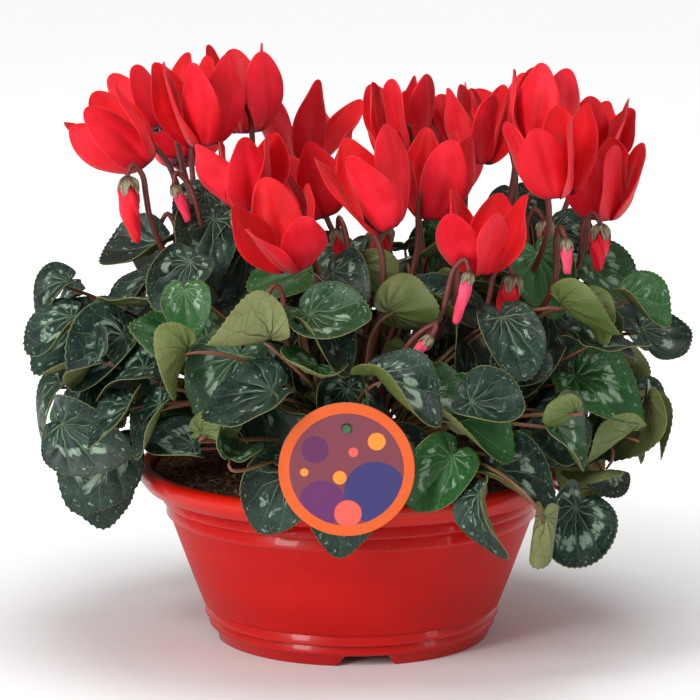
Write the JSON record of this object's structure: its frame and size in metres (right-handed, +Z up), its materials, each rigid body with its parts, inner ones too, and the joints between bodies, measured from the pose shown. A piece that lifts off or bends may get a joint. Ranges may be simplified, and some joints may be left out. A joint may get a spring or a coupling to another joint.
{
  "type": "potted cyclamen",
  "caption": "Scarlet cyclamen in full bloom with silver-marbled heart-shaped leaves, planted in a round red plastic bowl with a blank round card tag.",
  "frame": {"origin": "centre of the bowl's base, on the surface that it stands on", "axes": "+X across the widest spread of the leaves, +Y towards the back, +Z up the bowl's axis; the tag faces -Y"},
  "size_m": [0.4187, 0.3735, 0.3686],
  "materials": {
    "pot": "satin",
    "soil": "matte",
    "corm": "matte",
    "stalks": "satin",
    "petals": "matte",
    "buds": "matte",
    "leaves": "satin",
    "tag_card": "satin",
    "tag_pick": "matte"
  },
  "bodies": {
    "root": {"bloom_01": "petals", "bloom_02": "petals", "bloom_03": "petals", "bloom_04": "petals", "bloom_05": "petals", "bloom_06": "petals", "bloom_07": "petals", "bloom_08": "petals", "bloom_09": "petals", "bloom_10": "petals", "bloom_11": "petals", "bloom_12": "petals", "bloom_13": "petals", "bloom_14": "petals", "bloom_15": "petals", "bloom_16": "petals", "bloom_17": "petals", "bloom_18": "petals", "bloom_19": "petals", "bloom_20": "petals", "bloom_21": "petals", "bud_01": "petals", "bud_02": "petals", "bud_03": "petals", "bud_04": "petals", "bud_05": "petals", "bud_06": "petals", "bud_07": "buds", "bud_08": "buds", "bud_09": "buds", "bud_10": "buds", "bud_11": "buds", "bud_12": "buds", "bud_13": "buds", "corm_front": "corm", "corm_left": "corm", "corm_right": "corm", "leaves_front_1": "leaves", "leaves_front_2": "leaves", "leaves_front_3": "leaves", "leaves_front_5": "leaves", "leaves_front_6": "leaves", "leaves_left_1": "leaves", "leaves_left_2": "leaves", "leaves_left_4": "leaves", "leaves_left_5": "leaves", "leaves_right_1": "leaves", "leaves_right_2": "leaves", "leaves_left_3": "leaves", "leaves_right_4": "leaves", "leaves_right_5": "leaves", "pot": "pot", "soil": "soil", "stalks_front": "stalks", "stalks_left": "stalks", "stalks_right": "stalks", "tag_card": "tag_card", "tag_pick": "tag_pick"}
  },
  "joints": []
}
